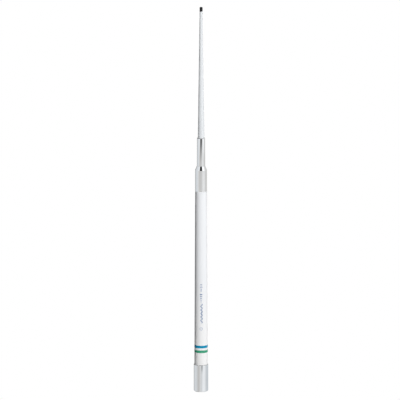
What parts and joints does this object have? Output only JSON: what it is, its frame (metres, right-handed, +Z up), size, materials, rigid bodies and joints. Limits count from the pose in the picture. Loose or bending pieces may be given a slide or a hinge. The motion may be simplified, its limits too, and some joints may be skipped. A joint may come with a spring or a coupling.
{
  "type": "omnidirectional antenna",
  "caption": "Two-section omnidirectional whip antenna in white glass fibre, with a screwed plated joint, a base ferrule for a threaded mount, and a coaxial socket.",
  "frame": {"origin": "centre of the base ferrule's bottom face, on the antenna's axis", "axes": "+Z up the antenna's axis, towards the tip; -Y towards the printed front"},
  "size_m": [0.0381, 0.038, 1.024],
  "materials": {
    "plated_ferrule": "polished chrome plate on turned brass",
    "grey_sealant": "satin cured sealant",
    "nickel_plated_brass": "bright nickel plate on turned brass",
    "silver_plated_brass": "silver plate on turned brass",
    "ptfe": "waxy white fluoropolymer",
    "black_rubber": "matt black nitrile rubber",
    "white_glass_fibre": "gloss white polyurethane over glass fibre laminate",
    "green_band": "gloss green film band",
    "blue_band": "gloss blue film band",
    "bare_copper": "drawn copper wire",
    "polyethylene": "translucent white polyethylene",
    "tinned_copper": "tinned copper braid",
    "black_pvc": "satin black PVC",
    "ferrite": "pressed and sintered ferrite, matt dark grey",
    "black_shrink_sleeve": "satin black polyolefin shrink sleeve",
    "bare_brass": "drawn brass with a light tarnish",
    "foam": "closed-cell polyethylene foam",
    "black_moulding": "moulded black plastic, satin"
  },
  "bodies": {
    "lower_section": {"base_ferrule": "plated_ferrule", "base_seal_bead": "grey_sealant", "coax_socket_shell": "nickel_plated_brass", "coax_socket_insulator": "ptfe", "coax_socket_contact": "silver_plated_brass", "socket_gasket": "black_rubber", "socket_washer": "nickel_plated_brass", "socket_nut": "nickel_plated_brass", "lower_tube": "white_glass_fibre", "green_band": "green_band", "blue_band": "blue_band", "cable_conductor": "bare_copper", "cable_dielectric": "polyethylene", "cable_braid": "tinned_copper", "cable_jacket": "black_pvc", "cable_crimp_ring": "nickel_plated_brass", "ferrite_beads": "ferrite", "choke_sleeve": "black_shrink_sleeve", "radiator_sleeve": "bare_brass", "cable_spacers": "foam", "tube_spacers": "foam", "feed_ring": "bare_brass", "feed_insulator": "ptfe", "feed_terminal": "bare_brass", "lower_joint_ferrule": "plated_ferrule", "joint_stud": "plated_ferrule"},
    "joint_seal": {"joint_o_ring": "black_rubber"},
    "upper_section": {"upper_joint_ferrule": "plated_ferrule", "whip_seal_bead": "grey_sealant", "whip_tube": "white_glass_fibre", "upper_element": "bare_brass", "rod_spacers": "foam", "tip_cap": "black_moulding"}
  },
  "joints": [
    {"name": "upper_section_turn", "type": "hinge", "parent": "lower_section", "child": "joint_seal", "pos_m": [0, 0, 0.604], "axis": [0, 0, 1], "range_deg": [0, 4680]},
    {"name": "upper_section_rise", "type": "slide", "parent": "joint_seal", "child": "upper_section", "axis": [0, 0, 1], "range_m": [0, 0.01835]}
  ],
  "couplings": [
    {"joint": "upper_section_rise", "follows": "upper_section_turn", "m_per_rad": 0.00022459}
  ]
}
